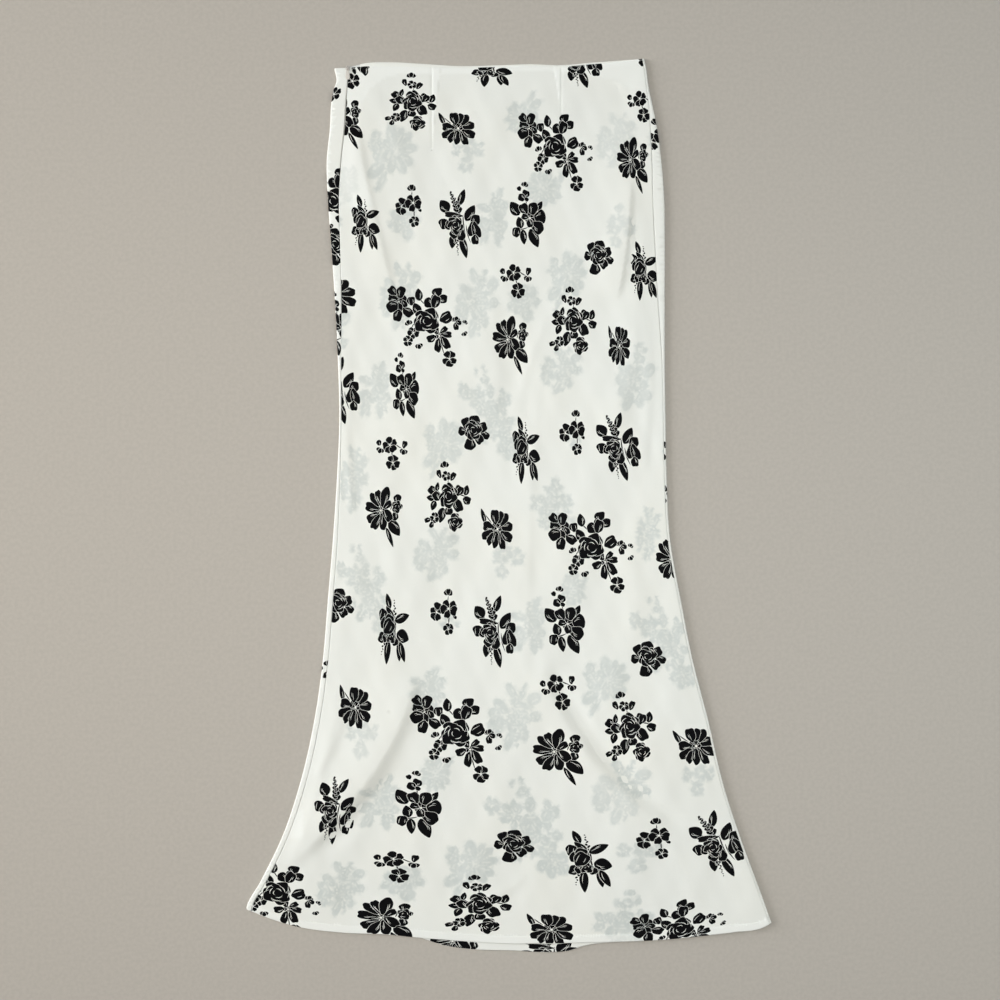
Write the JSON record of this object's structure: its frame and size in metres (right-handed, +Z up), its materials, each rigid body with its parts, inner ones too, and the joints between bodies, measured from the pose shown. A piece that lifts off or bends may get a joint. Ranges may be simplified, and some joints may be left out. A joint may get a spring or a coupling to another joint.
{
  "type": "maxi skirt",
  "caption": "Long printed skirt laid flat face up: fitted waist and hip with front darts, flared hem, invisible side zip with a swinging pull tab.",
  "frame": {"origin": "middle of the laid-out skirt's box in x and y, on the surface that it lies on", "axes": "+Y up the skirt toward the waist, +X toward the right-hand side edge as seen from above, +Z up from the surface"},
  "size_m": [0.5925, 1.0087, 0.0074],
  "materials": {
    "printed_crepe": "soft ivory crepe with a black flower print, slightly see-through",
    "plain_crepe": "plain ivory crepe",
    "zip_tape": "woven ivory tape with a moulded coil",
    "zip_enamel": "ivory-grey enamel, satin"
  },
  "bodies": {
    "skirt": {"front_panel": "printed_crepe", "back_panel": "printed_crepe", "back_facing": "plain_crepe", "back_hem": "printed_crepe", "side_zip": "zip_tape", "zip_slider": "zip_enamel"},
    "pull_tab": {"zip_pull": "zip_enamel"}
  },
  "joints": [
    {"name": "pull_tab_hinge", "type": "hinge", "parent": "skirt", "child": "pull_tab", "pos_m": [-0.1813, 0.4919, 0.00575], "axis": [-1, 0, 0], "range_deg": [0, 170]}
  ]
}
